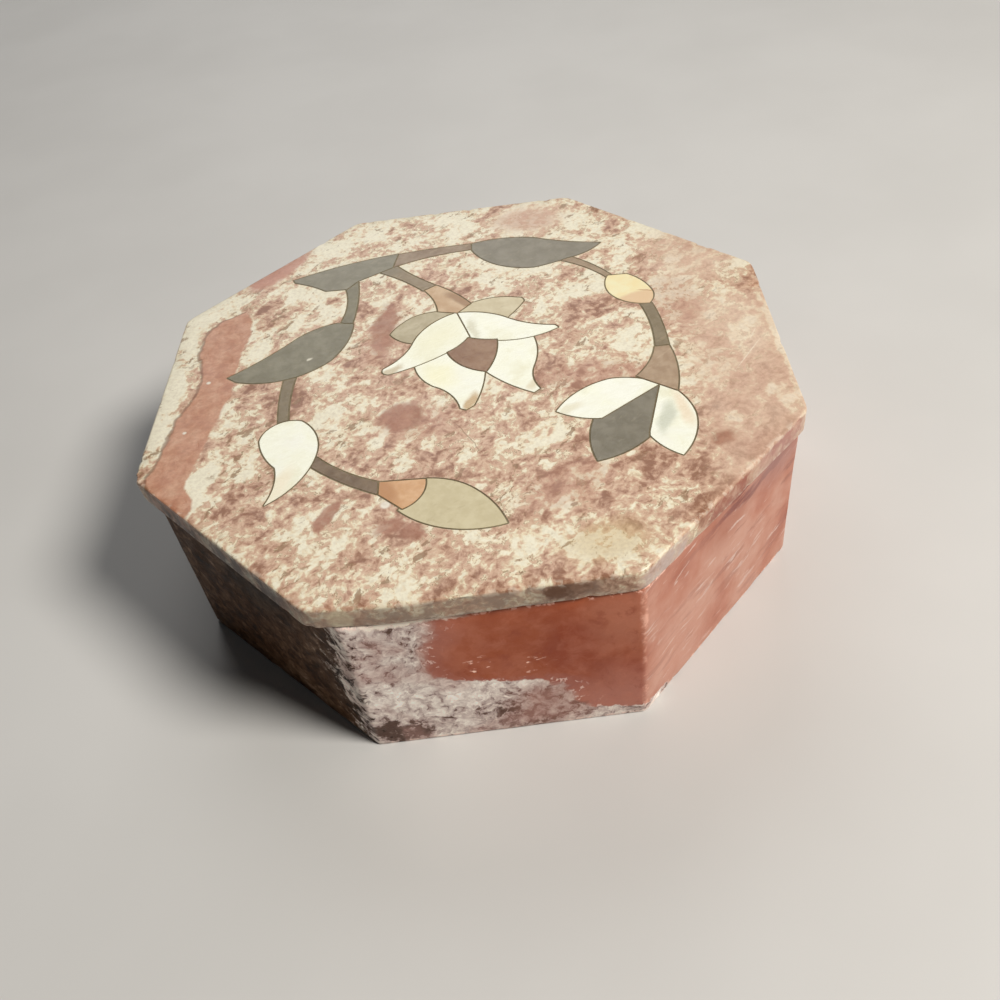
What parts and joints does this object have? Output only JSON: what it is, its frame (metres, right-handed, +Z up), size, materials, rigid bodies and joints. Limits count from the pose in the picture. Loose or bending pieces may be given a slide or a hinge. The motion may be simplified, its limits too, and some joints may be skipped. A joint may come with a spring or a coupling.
{
  "type": "trinket box",
  "caption": "Low octagonal soapstone trinket box with a loose lift-off lid, its top inlaid with a spray of leaves and flowers in stone and shell.",
  "frame": {"origin": "middle of the flat underside of the box body", "axes": "+Z up, the way the lid lifts; -Y out of the front side of the octagonal body; +X to the right seen from the front"},
  "size_m": [0.1309, 0.1287, 0.0411],
  "materials": {
    "soapstone_body": "satin, rubbed with wax",
    "soapstone_lid": "polished",
    "inlay_cement": "matte",
    "dark_stone": "polished",
    "brown_stone": "polished",
    "sage_stone": "polished",
    "amber_stone": "polished",
    "red_stone": "polished",
    "shell": "polished, pearly"
  },
  "bodies": {
    "box": {"box_body": "soapstone_body"},
    "lid": {"lid": "soapstone_lid", "inlay_cement": "inlay_cement", "branch_leaf": "dark_stone", "branch_stem": "brown_stone", "top_leaf": "dark_stone", "left_stem": "dark_stone", "left_leaf": "dark_stone", "bud_stem": "dark_stone", "white_bud": "shell", "lower_stem": "dark_stone", "lower_calyx": "amber_stone", "lower_leaf": "sage_stone", "flower_stem": "brown_stone", "flower_calyx": "amber_stone", "flower_sepal_left": "sage_stone", "flower_sepal_right": "sage_stone", "flower_petal_left": "shell", "flower_petal_right": "shell", "flower_petal_lower_left": "shell", "flower_petal_lower_right": "shell", "flower_centre": "red_stone", "bud_stalk": "dark_stone", "orange_bud": "amber_stone", "right_stem": "dark_stone", "right_calyx": "brown_stone", "tulip_petal_left": "shell", "tulip_petal_dark": "dark_stone", "tulip_petal_right": "shell"}
  },
  "joints": [
    {"name": "lid_lift", "type": "slide", "parent": "box", "child": "lid", "axis": [0, 0, 1], "range_m": [0, 0.06]}
  ]
}
